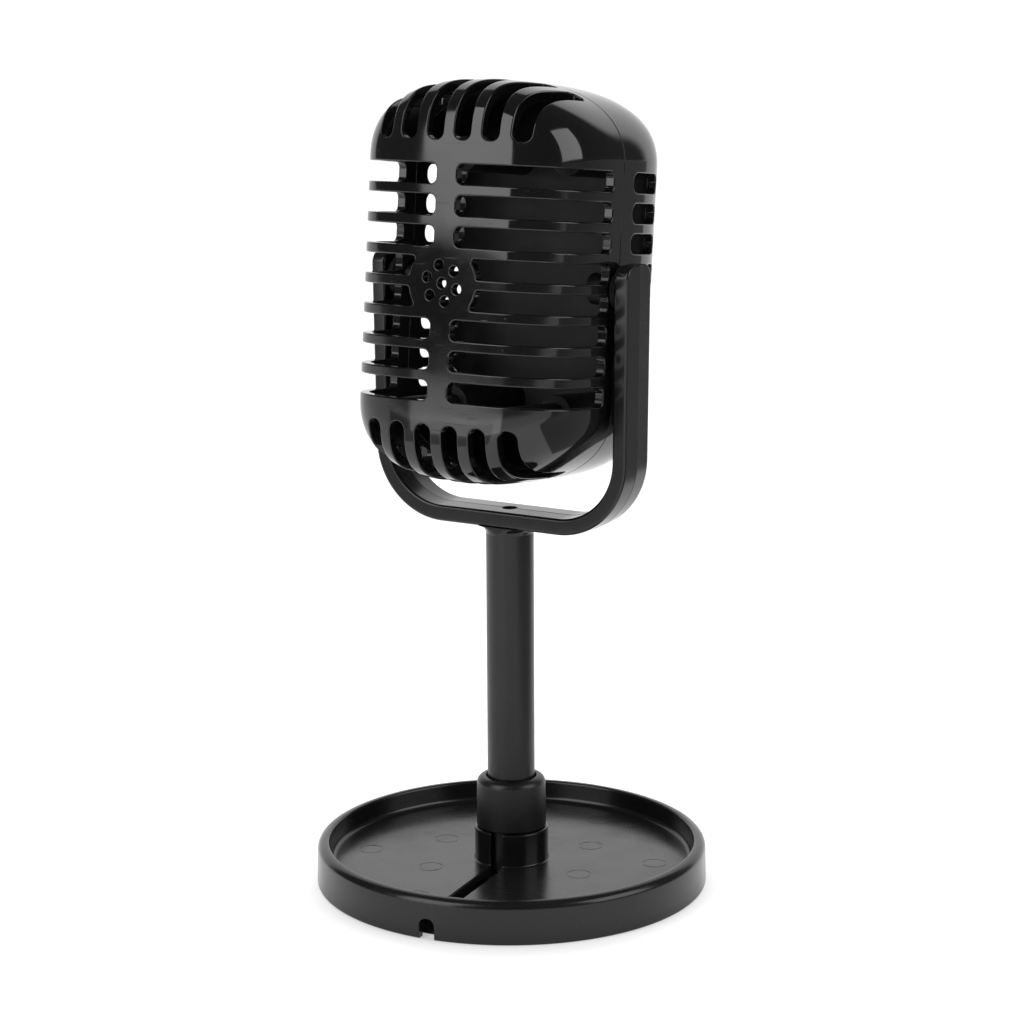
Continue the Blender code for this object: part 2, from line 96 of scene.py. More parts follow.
SECTION_STEPS = 160
FINE = 1.05                         # mesh spacing outside
COARSE = 2.4                        # and inside
BOSS_EDGE = 0.2                     # rounding of the screw bosses and seats
BOSS_FOOT = 0.3                     # how far from the wall a boss's foot starts
WELL_SIDES = 40
FRONT_BOSS_SIDES = 32


def unit(vectors):
    """Rows of vectors brought to length 1."""
    return vectors / np.linalg.norm(vectors, axis=1)[:, None]


def add_object(name, data):
    made = bpy.data.objects.new(name, data)
    bpy.context.scene.collection.objects.link(made)
    return made


def smooth_step(low, high, value):
    """0 below low, 1 above high, smooth between."""
    share = np.clip((value - low) / (high - low), 0, 1)
    return share * share * (3 - 2 * share)


def drawn_in(share, power):
    """The other coordinate of a superellipse of radius 1."""
    return np.maximum(1 - np.minimum(share, 1.0) ** power, 0.0) ** (1 / power)


class Half:
    """One half of the head, drawn on a chart: s runs round the plan outline, t runs up and over."""

    def __init__(self, side):
        self.side = side
        self.depth = DEPTHS[side]
        self.power = DEPTH_POWERS[side]
        turn = 0.5 ** (1 / PLAN_POWER)
        near = np.linspace(0, turn, 900)
        far = np.linspace(turn, 0, 900)[1:]
        self.xs = HALF_WIDTH * np.concatenate([near, drawn_in(far, PLAN_POWER)])
        self.ys = self.depth * np.concatenate([drawn_in(near, PLAN_POWER), far])
        steps = np.hypot(np.diff(self.xs), np.diff(self.ys))
        self.runs = np.concatenate([[0], np.cumsum(steps)])

    def run_at_x(self, x):
        return np.sign(x) * np.interp(np.abs(x), self.xs, self.runs)

    def run_at_y(self, y):
        return np.interp(-np.asarray(y), -self.ys, self.runs)

    def depth_at(self, x, climb):
        """Distance from the split plane at a width and a share of the dome's height."""
        width = HALF_WIDTH * drawn_in(climb, SIDE_POWER)
        depth = self.depth * drawn_in(climb, self.power)
        return depth * drawn_in(np.abs(x) / np.maximum(width, 1e-9), PLAN_POWER)

    def climb_at_y(self, x, y):
        """The share of the dome's height at which a section is y from the split plane."""
        low = np.zeros_like(x)
        high = np.ones_like(x)
        for _ in range(50):
            middle = (low + high) / 2
            outside = self.depth_at(x, middle) > y
            low = np.where(outside, middle, low)
            high = np.where(outside, high, middle)
        return low

    def sections(self, x):
        """Climbs and arc lengths along the dome's section at each x."""
        top = self.climb_at_y(x, np.full_like(x, SPLIT))[:, None]
        along = np.linspace(0, 1, SECTION_STEPS)[None, :]
        climb = top * (1 - (1 - along) ** 3.5)
        y = self.depth_at(x[:, None], climb)
        steps = np.hypot(np.diff(y, axis=1), np.diff(climb * DOME_HEIGHT, axis=1))
        length = np.concatenate([np.zeros((len(x), 1)), np.cumsum(steps, axis=1)], axis=1)
        return climb, length

    def between(self, table, wanted, values):
        """Read values at the wanted places along each row of a table."""
        index = np.clip((table < wanted[:, None]).sum(axis=1), 1, table.shape[1] - 1)
        rows = np.arange(len(wanted))
        low = table[rows, index - 1]
        share = np.clip((wanted - low) / np.maximum(table[rows, index] - low, 1e-12), 0, 1)
        return values[rows, index - 1] * (1 - share) + values[rows, index] * share

    def t_at_z(self, x, z):
        """The chart's t at a width and a height; both may be arrays."""
        x = np.asarray(x, float)
        z = np.asarray(z, float)
        climb = np.clip((np.abs(z) - WALL_TOP) / DOME_HEIGHT, 0, 1)
        climbs, lengths = self.sections(x)
        over = self.between(climbs, climb, lengths)
        return np.where(np.abs(z) <= WALL_TOP, z, np.sign(z) * (WALL_TOP + over))

    def t_at_y(self, x, y):
        """The chart's t where a section of the dome is y from the split plane."""
        climb = self.climb_at_y(x, np.full_like(x, y))
        climbs, lengths = self.sections(x)
        return WALL_TOP + self.between(climbs, climb, lengths)

    def place(self, chart):
        """Positions, outward normals and inner-wall positions of chart points."""
        s, t = chart[:, 0], chart[:, 1]
        plan_x = np.interp(np.abs(s), self.runs, self.xs)
        plan_y = np.interp(np.abs(s), self.runs, self.ys)
        climb = np.zeros(len(s))
        domed = np.abs(t) > WALL_TOP
        if domed.any():
            climbs, lengths = self.sections(plan_x[domed])
            climb[domed] = self.between(lengths, np.abs(t[domed]) - WALL_TOP, climbs)
        width = HALF_WIDTH * drawn_in(climb, SIDE_POWER)
        depth = self.depth * drawn_in(climb, self.power)
        y = np.where(domed, self.depth_at(plan_x, climb), plan_y)
        z = np.where(domed, WALL_TOP + climb * DOME_HEIGHT, np.abs(t))
        across = plan_x ** (PLAN_POWER - 1) / width ** PLAN_POWER
        along = y ** (PLAN_POWER - 1) / depth ** PLAN_POWER
        up = across * plan_x * climb ** (SIDE_POWER - 1) / (1 - climb ** SIDE_POWER)
        up += along * y * climb ** (self.power - 1) / (1 - climb ** self.power)
        normal = unit(np.stack([across, along, up / DOME_HEIGHT], axis=1))
        inward = -normal
        inward[:, 0] *= smooth_step(21.5, 26.0, plan_x)
        inward[:, 1] *= smooth_step(22.0, 27.0, plan_y)
        inward = unit(inward)
        reach = SHELL_WALL / np.maximum(-(inward * normal).sum(axis=1), 0.6)
        signs = np.stack([np.where(s < 0, -1, 1), np.full(len(s), self.side), np.where(t < 0, -1, 1)], axis=1)
        point = np.stack([plan_x, y, z], axis=1) * signs
        inner = point + inward * signs * reach[:, None]
        return point, normal * signs, inner


def grown_corners(corners, grow):
    """Move each side of a closed anticlockwise outline outward."""
    points = np.asarray(corners, float)
    ahead = unit(np.roll(points, -1, axis=0) - points)
    out = np.stack([ahead[:, 1], -ahead[:, 0]], axis=1)
    before = np.roll(out, 1, axis=0)
    both = out + before
    share = 1 + (out * before).sum(axis=1)
    return points + both / share[:, None] * grow


def rounded_corner(before, corner, after, radius, steps):
    """Points along the rounding of one corner of an outline."""
    back, ahead = unit(np.array([before, after], float) - corner)
    half = math.acos(max(-1, min(1, float(back @ ahead)))) / 2
    reach = radius / math.tan(half)
    centre = corner + (back + ahead) / np.linalg.norm(back + ahead) * radius / math.sin(half)
    start = corner + back * reach - centre
    end = corner + ahead * reach - centre
    turn = math.atan2(start[0] * end[1] - start[1] * end[0], float(start @ end))
    bend = []
    for angle in turn * np.linspace(0, 1, steps + 1):
        bend.append(centre + (start[0] * math.cos(angle) - start[1] * math.sin(angle),
                              start[0] * math.sin(angle) + start[1] * math.cos(angle)))
    return bend


def outline(corners, radii, grow, step, arc_steps=5):
    """A closed outline with rounded corners and evenly divided sides, as chart points."""
    sides = np.linalg.norm(np.roll(np.asarray(corners, float), -1, axis=0) - corners, axis=1)
    points = grown_corners(corners, grow)
    runs = []
    befores, afters = np.roll(points, 1, axis=0), np.roll(points, -1, axis=0)
    for before, point, after, radius in zip(befores, points, afters, radii):
        if radius > 0:
            runs.append(rounded_corner(before, point, after, radius + grow, arc_steps))
        else:
            runs.append([point])
    loop = []
    for run, following, side in zip(runs, runs[1:] + runs[:1], sides):
        loop += run
        count = max(1, round(side / step))
        for share in range(1, count):
            loop.append(run[-1] + (following[0] - run[-1]) * share / count)
    return np.array(loop)


def ring_outline(centre, radius, grow, count):
    """A circle as an anticlockwise outline."""
    angles = np.arange(count) / count * 2 * math.pi
    return np.stack([centre[0] + (radius + grow) * np.cos(angles),
                     centre[1] + (radius + grow) * np.sin(angles)], axis=1)


def inside(points, loop):
    """Which points are inside a closed outline."""
    result = np.zeros(len(points), bool)
    low, high = loop.min(axis=0), loop.max(axis=0)
    near = np.all((points > low) & (points < high), axis=1)
    x, y = points[near, 0][:, None], points[near, 1][:, None]
    x1, y1 = loop[:, 0][None], loop[:, 1][None]
    x2, y2 = np.roll(loop[:, 0], -1)[None], np.roll(loop[:, 1], -1)[None]
    crosses = (y1 > y) != (y2 > y)
    slope = (x2 - x1) / np.where(np.abs(y2 - y1) < 1e-12, 1e-12, y2 - y1)
    result[near] = (crosses & (x < x1 + slope * (y - y1))).sum(axis=1) % 2 == 1
    return result


def clear_of(points, loop, distance):
    """Which points are further than a distance from an outline's corners."""
    result = np.ones(len(points), bool)
    near = np.all((points > loop.min(axis=0) - distance) & (points < loop.max(axis=0) + distance), axis=1)
    gaps = np.linalg.norm(points[near][:, None, :] - loop[None], axis=2).min(axis=1)
    result[near] = gaps > distance
    return result


class Mesh:
    """Vertices with normals, and faces, gathered for one Blender mesh."""

    def __init__(self):
        self.points = []
        self.normals = []
        self.faces = []
        self.inner_faces = []
        self.count = 0

    def add(self, points, normals):
        self.points.append(points)
        self.normals.append(normals)
        start = self.count
        self.count += len(points)
        return np.arange(start, self.count)

    def skin(self, rings, outside):
        """Quads between closed rings of vertices; the first few steps are outside, the rest inside."""
        for step, (first, second) in enumerate(zip(rings, rings[1:])):
            quads = np.stack([first, np.roll(first, -1), np.roll(second, -1), second], axis=1).tolist()
            faces = self.faces if step < outside else self.inner_faces
            faces += quads

    def sheet(self, boundary, holes, extra, place, faces_to):
        """Triangulate a chart region between loops of vertices that are already there."""
        loops = [boundary] + holes

        def in_sheet(points):
            result = inside(points, boundary[0])
            for loop, _ in holes:
                result &= ~inside(points, loop)
            return result

        extra = extra[in_sheet(extra)]
        chart = [loop for loop, _ in loops]
        numbers = np.concatenate([ids for _, ids in loops] + [self.add(*place(extra))])
        every = np.concatenate(chart + [extra])
        edges = []
        start = 0
        for loop in chart:
            size = len(loop)
            edges += [(start + index, start + (index + 1) % size) for index in range(size)]
            start += size
        made = delaunay_2d_cdt([Vector(point) for point in every], edges, [], 0, 1e-6, True)
        verts, faces, origins = made[0], made[2], made[3]
        numbers = [int(numbers[origin[0]]) for origin in origins]
        flat = np.array([tuple(vert) for vert in verts])
        good = in_sheet(flat[np.array(faces)].mean(axis=1))
        faces_to += [[numbers[corner] for corner in face] for face, keep in zip(faces, good) if keep]

    def build(self, name, materials, place):
        """Make the object, with every face turned to its normals."""
        points = np.concatenate(self.points)
        normals = np.concatenate(self.normals)
        faces = []
        for face in self.faces + self.inner_faces:
            corners = points[face]
            facing = np.cross(corners[1] - corners[0], corners[2] - corners[0])
            if len(face) == 4:
                facing = facing + np.cross(corners[2] - corners[0], corners[3] - corners[0])
            faces.append(face if facing @ normals[face].sum(axis=0) >= 0 else face[::-1])
        mesh = bpy.data.meshes.new(name)
        mesh.from_pydata((points * MM).tolist(), [], faces)
        mesh.update()
        mesh.shade_smooth()
        mesh.normals_split_custom_set_from_vertices(normals.tolist())
        mesh.transform(place)
        for material in materials:
            mesh.materials.append(material)
        # Inner faces take the second material, which for the head is the darker inside copy with painted
        # shade.
        kinds = [0] * len(self.faces) + [1] * len(self.inner_faces)
        mesh.polygons.foreach_set("material_index", kinds)
        return add_object(name, mesh)


def rounded_opening(mesh, half, outlines, edge=OUTER_EDGE):
    """Line an opening or an outer border with rounded edges; gives its outer and inner loops of vertices.

    outlines holds the chart loops: the true one, the one grown by the outer edge and by the inner edge.
    """
    true, outer, inner = outlines
    point, normal, within = half.place(true)
    far_point, far_normal, _ = half.place(outer)
    _, near_normal, far_within = half.place(inner)
    away = far_point - point
    side = unit(away)
    side = unit(side - normal * (side * normal).sum(axis=1)[:, None])
    deep = unit(within - point)
    rings = [mesh.add(far_point, far_normal)]
    for angle in (30, 60, 90):
        turned = math.radians(angle)
        place = point + away * (1 - math.sin(turned)) + deep * edge * (1 - math.cos(turned))
        facing = normal * math.cos(turned) - side * math.sin(turned)
        rings.append(mesh.add(place, facing))
    inward = far_within - within
    for angle in (90, 45):
        turned = math.radians(angle)
        place = within + inward * (1 - math.sin(turned)) - deep * INNER_EDGE * (1 - math.cos(turned))
        facing = -normal * math.cos(turned) - side * math.sin(turned)
        rings.append(mesh.add(place, facing))
    rings.append(mesh.add(far_within, -near_normal))
    mesh.skin(rings, len(rings))
    return (outer, rings[0]), (inner, rings[-1])


def grown_three(draw):
    """The three sizes of an outline that an opening needs."""
    return [draw(0.0), draw(OUTER_EDGE), draw(INNER_EDGE)]


def mirrored(loops):
    """The same outlines on the other side of s = 0, still anticlockwise."""
    return [(loop * (-1, 1))[::-1] for loop in loops]


def flipped(loops):
    """The same outlines below t = 0, still anticlockwise."""
    return [(loop * (1, -1))[::-1] for loop in loops]


def side_slots(first, last, corner_r, rows):
    """Both sides' slots of some rows, between two places on the plan outline."""
    made = []
    for row in rows:
        middle = SLOT_PITCH * (row - (SLOT_ROWS - 1) / 2)
        low, high = middle - SLOT_HEIGHT / 2, middle + SLOT_HEIGHT / 2
        corners = [(first, low), (last, low), (last, high), (first, high)]
        loops = grown_three(lambda grow: outline(corners, [corner_r] * 4, grow, FINE))
        made += [loops, mirrored(loops)]
    return made


def rosette_slots(half, last):
    """The two rows of slots that stop at the rosette's rim, on both sides."""
    made = []
    low, high = SLOT_PITCH / 2 - SLOT_HEIGHT / 2, SLOT_PITCH / 2 + SLOT_HEIGHT / 2
    rim = []
    for height in np.linspace(high, low, 6):
        rim.append((half.run_at_x(math.sqrt(ROSETTE_R ** 2 - height ** 2)), height))
    corners = [rim[-1], (last, low), (last, high)] + rim[:-1]
    radii = [0.7, FRONT_CORNER_R, FRONT_CORNER_R, 0.7] + [0.0] * (len(rim) - 2)
    loops = grown_three(lambda grow: outline(corners, radii, grow, FINE))
    for pair in (loops, flipped(loops)):
        made += [pair, mirrored(pair)]
    return made


def dome_slots(half):
    """The slots over the dome at the top and the bottom."""
    made = []
    for column in range(DOME_COLUMNS):
        centre = DOME_PITCH * (column - (DOME_COLUMNS - 1) / 2)
        start = half.t_at_z(np.array([centre]), np.array([DOME_START_Z]))[0]
        end = half.t_at_y(np.array([abs(centre)]), DOME_END_Y)[0]
        height = end - start
        corners = [(-DOME_SLOT_WIDTH / 2, 0), (DOME_SLOT_WIDTH / 2, 0),
                   (DOME_SLOT_WIDTH / 2, height), (-DOME_SLOT_WIDTH / 2, height)]

        def draw(grow, start_r):
            drawn = outline(corners, [start_r, start_r, FRONT_CORNER_R, FRONT_CORNER_R], grow, FINE)
            x = centre + drawn[:, 0]
            first = half.t_at_z(np.abs(x), np.full(len(x), DOME_START_Z))
            final = half.t_at_y(np.abs(x), DOME_END_Y)
            t = first + drawn[:, 1] * (final - first) / height
            return np.stack([half.run_at_x(x), t], axis=1)

        made.append(grown_three(lambda grow: draw(grow, DOME_START_R[0])))
        made.append(flipped(grown_three(lambda grow: draw(grow, DOME_START_R[1]))))
    return made


def rosette_holes(half):
    """The middle hole and the ring of six."""
    places = [(0.0, 0.0)]
    for hole in range(6):
        angle = math.radians(90 + ROSETTE_TURN + 60 * hole)
        places.append((ROSETTE_RING_R * math.cos(angle), ROSETTE_RING_R * math.sin(angle)))
    made = []
    for place in places:
        def draw(grow):
            circle = ring_outline(place, ROSETTE_HOLE_R, grow * 0.8, 24)
            return np.stack([half.run_at_x(circle[:, 0]), circle[:, 1]], axis=1)
        made.append(grown_three(draw))
    return made


def split_border(half, grow):
    """The border of a half along the split, as one anticlockwise chart outline."""
    y = SPLIT + grow
    bore = BORE_R + grow
    wall_run = half.run_at_y(y)
    bore_z = math.sqrt(bore ** 2 - y ** 2)
    right = [(wall_run, height) for height in np.linspace(-WALL_TOP, -bore_z, 16)]
    start = math.atan2(bore_z, y)
    for angle in np.linspace(-start, start, 15)[1:-1]:
        right.append((half.run_at_y(bore * math.cos(angle)), bore * math.sin(angle)))
    right += [(wall_run, height) for height in np.linspace(bore_z, WALL_TOP, 16)]
    top = half.climb_at_y(np.zeros(1), np.full(1, y))[0]
    climb = top * (1 - (1 - np.linspace(0, 1, 1200)) ** 3.0)
    width = HALF_WIDTH * drawn_in(climb, SIDE_POWER)
    depth = half.depth * drawn_in(climb, half.power)
    x = width * drawn_in(y / np.maximum(depth, y), PLAN_POWER)
    x[-1] = 0.0
    steps = np.hypot(np.diff(x), np.diff(climb * DOME_HEIGHT))
    length = np.concatenate([[0], np.cumsum(steps)])
    wanted = length[-1] * np.linspace(0, 1, 56)[1:] ** 1.35
    x = np.interp(wanted, length, x)
    over_t = half.t_at_y(x, y)
    over_s = half.run_at_x(x)
    over_s = np.minimum(over_s, wall_run)
    quarter = np.stack([over_s, over_t], axis=1)
    upper = np.concatenate([quarter, (quarter[:-1] * (-1, 1))[::-1]])
    right = np.array(right)
    left = (right * (-1, 1))[::-1]
    lower = (upper * (1, -1))[::-1]
    return np.concatenate([right, upper, left, lower])


def chart_grid(half, spacing, tall):
    """Points spread over a half's chart, closer together round the corners and over the dome."""
    reach = half.runs[-1]
    count = math.ceil(2 * reach / spacing)
    s = np.linspace(-reach, reach, count + 1)
    wall = np.linspace(-WALL_TOP, WALL_TOP, math.ceil(2 * WALL_TOP / tall) + 1)
    over = np.arange(WALL_TOP + spacing, WALL_TOP + 60, spacing)
    t = np.concatenate([-over[::-1], wall, over])
    grid_s, grid_t = np.meshgrid(s, t)
    grid_s = grid_s + (np.arange(len(t)) % 2)[:, None] * spacing / 2
    points = np.stack([grid_s.ravel(), grid_t.ravel()], axis=1)
    return points[np.abs(points[:, 0]) < reach]


class ScrewCircles:
    """Circles round one screw of a half: on its chart, and as rings of vertices along the screw."""

    def __init__(self, mesh, half, centre, count):
        self.mesh = mesh
        self.half = half
        self.centre = centre
        self.count = count
        angles = np.arange(count) / count * 2 * math.pi
        self.spoke = np.stack([np.cos(angles), np.zeros(count), np.sin(angles)], axis=1)
        self.middle = np.array([centre[0], 0.0, centre[1]])
        self.outward = np.array([0.0, half.side, 0.0])

    def charted(self, radius):
        circle = ring_outline(self.centre, radius, 0.0, self.count)
        t = self.half.t_at_z(np.abs(circle[:, 0]), circle[:, 1])
        return np.stack([self.half.run_at_x(circle[:, 0]), t], axis=1)

    def rings(self, *rows):
        """Rings from (radius, distance from the split, how they face away from the axis, and outward)."""
        made = []
        for radius, distance, out, along in rows:
            place = self.middle + self.spoke * radius + self.outward * distance
            made.append(self.mesh.add(place, unit(self.spoke * out + self.outward * along)))
        return made

    def boss(self, radius, spread):
        """Rings from the shank hole over a boss's end to the shell's inner wall, and the chart loop there."""
        edge = BOSS_EDGE
        made = self.rings((SHANK_HOLE_R, SPLIT + edge, -1, 0), (SHANK_HOLE_R + edge, SPLIT, 0, -1),
                          (radius - edge, SPLIT, 0, -1), (radius, SPLIT + edge, 1, 0))
        _, _, within = self.half.place(self.charted(radius))
        made.append(self.mesh.add(within - self.outward * BOSS_FOOT, self.spoke))
        loop = self.charted(radius + spread)
        _, normal, within = self.half.place(loop)
        return made + [self.mesh.add(within, -normal)], loop


def screw_centres():
    return [(side * SCREW_AT[0], up * SCREW_AT[1]) for up in (1, -1) for side in (1, -1)]


def back_wells(mesh, half):
    """The four screw wells with their seats and bosses; gives their loops of vertices."""
    outer_loops, inner_loops = [], []
    seat, edge = WELL_SEAT_Y, BOSS_EDGE
    for centre in screw_centres():
        drawn = ScrewCircles(mesh, half, centre, WELL_SIDES)
        outer = drawn.charted(WELL_R + OUTER_EDGE)
        point, normal, _ = half.place(outer)
        lip, lip_normal, _ = half.place(drawn.charted(WELL_R))
        rings = [mesh.add(point, normal)]
        for angle in (30, 60, 90):
            turned = math.radians(angle)
            sunk = drawn.outward * OUTER_EDGE * (1 - math.cos(turned))
            facing = unit(lip_normal * math.cos(turned) - drawn.spoke * math.sin(turned))
            rings.append(mesh.add(lip + (point - lip) * (1 - math.sin(turned)) - sunk, facing))
        rings += drawn.rings((WELL_R, seat + edge, -1, 0), (WELL_R - edge, seat, 0, 1),
                             (SHANK_HOLE_R + edge, seat, 0, 1), (SHANK_HOLE_R, seat - edge, -1, 0))
        boss, inner = drawn.boss(BACK_BOSS_R, BOSS_FOOT)
        mesh.skin(rings + boss, len(rings) - 1)
        outer_loops.append((outer, rings[0]))
        inner_loops.append((inner, boss[-1]))
    return outer_loops, inner_loops


def front_bosses(mesh, half):
    """The four blind screw bosses inside the front half; gives their loops of vertices."""
    loops = []
    for centre in screw_centres():
        drawn = ScrewCircles(mesh, half, centre, FRONT_BOSS_SIDES)
        rings = drawn.rings((SHANK_HOLE_R - BOSS_EDGE, FRONT_HOLE_END_Y, 0, -1),
                            (SHANK_HOLE_R, FRONT_HOLE_END_Y - BOSS_EDGE, -1, 0))
        mesh.inner_faces.append(rings[0].tolist())
        boss, loop = drawn.boss(FRONT_BOSS_R, 0.1)
        mesh.skin(rings + boss, 0)
        loops.append((loop, boss[-1]))
    return loops


def head_skin(name, side, materials, place):
    """One moulded half of the head."""
    half = Half(side)
    mesh = Mesh()
    outer_loops, inner_loops = [], []
    rows = [row for row in range(SLOT_ROWS) if row not in ARM_SLOTS_Y]
    if side < 0:
        end = half.run_at_y(FRONT_END_Y)
        openings = side_slots(half.run_at_x(SPINE), end, FRONT_CORNER_R, rows)
        openings += rosette_slots(half, end) + dome_slots(half) + rosette_holes(half)
    else:
        start, end = half.run_at_y(BACK_SLOT_Y)
        openings = side_slots(end, start, BACK_CORNER_R, rows)
        for row, places in ARM_SLOTS_Y.items():
            start, end = half.run_at_y(places)
            openings += side_slots(end, start, BACK_CORNER_R, (row,))
    for loops in openings:
        outer, inner = rounded_opening(mesh, half, loops)
        outer_loops.append(outer)
        inner_loops.append(inner)
    if side > 0:
        wells = back_wells(mesh, half)
        outer_loops += wells[0]
        inner_loops += wells[1]
    else:
        inner_loops += front_bosses(mesh, half)
    border = [split_border(half, grow) for grow in (0.0, SEAM_EDGE, INNER_EDGE)]
    outer_border, inner_border = rounded_opening(mesh, half, border, SEAM_EDGE)

    for boundary, holes, spacing, tall, inner_side in ((outer_border, outer_loops, FINE, 2.1, False),
                                                       (inner_border, inner_loops, COARSE, 3.0, True)):
        grid = chart_grid(half, spacing, tall)
        kept = np.ones(len(grid), bool)
        for loop, _ in [boundary] + holes:
            kept &= clear_of(grid, loop, spacing * 0.55)

        def on_surface(points, inner_side=inner_side):
            point, normal, within = half.place(points)
            return (within, -normal) if inner_side else (point, normal)

        mesh.sheet(boundary, holes, grid[kept], on_surface, mesh.inner_faces if inner_side else mesh.faces)
    return mesh.build(name, materials, place)


# ---------------------------------------------------------------- other mouldings

def arc(centre, radius, start, end, count):
    """Points along an arc, angles in degrees."""
    angles = [math.radians(start + (end - start) * step / count) for step in range(count + 1)]
    return [(centre[0] + radius * math.cos(angle), centre[1] + radius * math.sin(angle)) for angle in angles]


def rounded_profile(corners, steps=4):
    """A closed profile of (radius, height, rounding) corners, with the roundings drawn."""
    points = []
    for before, corner, after in zip(corners[-1:] + corners[:-1], corners, corners[1:] + corners[:1]):
        if corner[2] > 0:
            points += rounded_corner(before[:2], np.array(corner[:2]), after[:2], corner[2], steps)
        else:
            points.append(corner[:2])
    return points


def new_object(name, bm, material):
    """Finish a bmesh as an object, its units turned from mm to m."""
    bmesh.ops.recalc_face_normals(bm, faces=bm.faces)
    bmesh.ops.scale(bm, vec=(MM, MM, MM), verts=bm.verts)
    mesh = bpy.data.meshes.new(name)
    bm.to_mesh(mesh)
    bm.free()
    mesh.materials.append(material)
    mesh.shade_smooth()
    return add_object(name, mesh)


def mirror_x(bm):
    """Add the mirror image at the other side of x = 0."""
    copied = bmesh.ops.duplicate(bm, geom=bm.verts[:] + bm.edges[:] + bm.faces[:])["geom"]
    verts = [item for item in copied if isinstance(item, bmesh.types.BMVert)]
    bmesh.ops.scale(bm, vec=(-1, 1, 1), verts=verts)


def prism(name, profile, ends, turn, material):
    """A solid with an (x, z) profile between two places along Y, turned about Z."""
    bm = bmesh.new()
    caps = [bm.faces.new([bm.verts.new((x, y, z)) for x, z in profile]) for y in ends]
    bmesh.ops.bridge_loops(bm, edges=[edge for face in caps for edge in face.edges])
    bmesh.ops.rotate(bm, verts=bm.verts, matrix=Matrix.Rotation(turn, 4, "Z"))
    return new_object(name, bm, material)


def spun(bm, profile, steps, closed=True, turn=2 * math.pi):
    """Turn a profile of (radius, height) about Z; radius 0 makes a point on the axis."""
    rings = []
    whole = turn > 2 * math.pi - 0.001
    columns = steps if whole else steps + 1
    for radius, height in profile:
        if radius < 1e-6:
            rings.append([bm.verts.new((0, 0, height))] * columns)
            continue
        ring = []
        for step in range(columns):
            angle = turn * step / steps
            ring.append(bm.verts.new((radius * math.cos(angle), radius * math.sin(angle), height)))
        rings.append(ring)
    pairs = list(zip(rings, rings[1:]))
    if closed:
        pairs.append((rings[-1], rings[0]))
    for lower, upper in pairs:
        for step in range(steps):
            after = (step + 1) % columns
            corners = [lower[step], lower[after], upper[after], upper[step]]
            face = list(dict.fromkeys(corners))
            if len(face) > 2:
                bm.faces.new(face)
    if not whole:
        for step in (0, columns - 1):
            bm.faces.new([ring[step] for ring in rings])
    return rings


def lathed(name, profile, steps, material):
    """A solid turned from a closed profile, or from one that starts and ends on the axis."""
    bm = bmesh.new()
    spun(bm, profile, steps, closed=profile[0][0] > 0)
    return new_object(name, bm, material)


def subtract(obj, tool):
    """Cut one solid from another for good."""
    boolean = obj.modifiers.new("cut", "BOOLEAN")
    boolean.operation = "DIFFERENCE"
    boolean.solver = "EXACT"
    boolean.object = tool
    bpy.context.view_layer.update()
    evaluated = obj.evaluated_get(bpy.context.evaluated_depsgraph_get())
    mesh = bpy.data.meshes.new_from_object(evaluated)
    obj.modifiers.clear()
    obj.data = mesh
    bpy.data.objects.remove(tool)


def finish_edges(obj, width, angle=35, segments=2):
    """Round an object's sharp edges and keep its flats flat."""
    bevel = obj.modifiers.new("round", "BEVEL")
    bevel.width = width * MM
    bevel.segments = segments
    bevel.limit_method = "ANGLE"
    bevel.angle_limit = math.radians(angle)
    bevel.harden_normals = False
    weighted = obj.modifiers.new("flats", "WEIGHTED_NORMAL")
    weighted.keep_sharp = True


# Ejector marks on the base's floor: distance from the middle in mm and angle in degrees from +X
MARKS_AT = [(22.0, 60 * step - 8) for step in range(6)] + [(37.0, 60 * step + 22) for step in range(6)]


def base_piece(material):
    """The dish base with its boss ring, cable slot and cable notch."""
    floor_under, floor_top = 3.2, 5.2
    bore_r, boss_r, boss_top = 8.1, 9.4, 13.8
    rim_r, rim_in, height = 50.0, 46.8, 10.7
    corners = [(rim_in, height, 0.7), (rim_r - 0.25, height, 2.0), (rim_r, 0, 0.5), (rim_r - 2.1, 0, 0.3),
               (rim_r - 2.5, floor_under, 0.6), (bore_r, floor_under, 0.2), (bore_r, boss_top, 0.35),
               (boss_r, boss_top, 0.35), (boss_r, floor_top, 0.5), (rim_in - 0.4, floor_top, 1.4)]
    base = lathed("base", rounded_profile(corners, 5), 160, material)

    cable_turn = math.radians(7.0)
    half, lip = 1.7, 0.35
    profile = [(-half, -2), (half, -2), (half, floor_top - lip), (half + lip, floor_top),
               (half + lip, floor_top + 0.02), (half, floor_top + 0.02), (half, boss_top + 2),
               (-half, boss_top + 2), (-half, floor_top + 0.02), (-half - lip, floor_top + 0.02),
               (-half - lip, floor_top), (-half, floor_top - lip)]
    subtract(base, prism("slot_tool", profile, (-6.8, -45.4), cable_turn, material))

    half, top, corner_r = 2.05, 5.3, 1.85
    profile = [(-half, -4), (half, -4)] + arc((half - corner_r, top - corner_r), corner_r, 0, 90, 6)
    profile += arc((corner_r - half, top - corner_r), corner_r, 90, 180, 6)
    subtract(base, prism("notch_tool", profile, (-45.5, -52), cable_turn, material))

    mark_r, mark_width, mark_deep = 2.88, 0.22, 0.07
    mark = [(mark_r, floor_top + 0.2), (mark_r, floor_top - mark_deep),
            (mark_r + mark_width, floor_top - mark_deep), (mark_r + mark_width, floor_top + 0.2)]
    bm = bmesh.new()
    for away, angle in MARKS_AT:
        turned = math.radians(angle)
        spot = Vector((away * math.cos(turned), away * math.sin(turned), 0))
        before = set(bm.verts)
        spun(bm, mark, 40)
        bmesh.ops.translate(bm, verts=[vert for vert in bm.verts if vert not in before], vec=spot)
    subtract(base, new_object("marks_tool", bm, material))
    finish_edges(base, 0.18, 40)
    return base


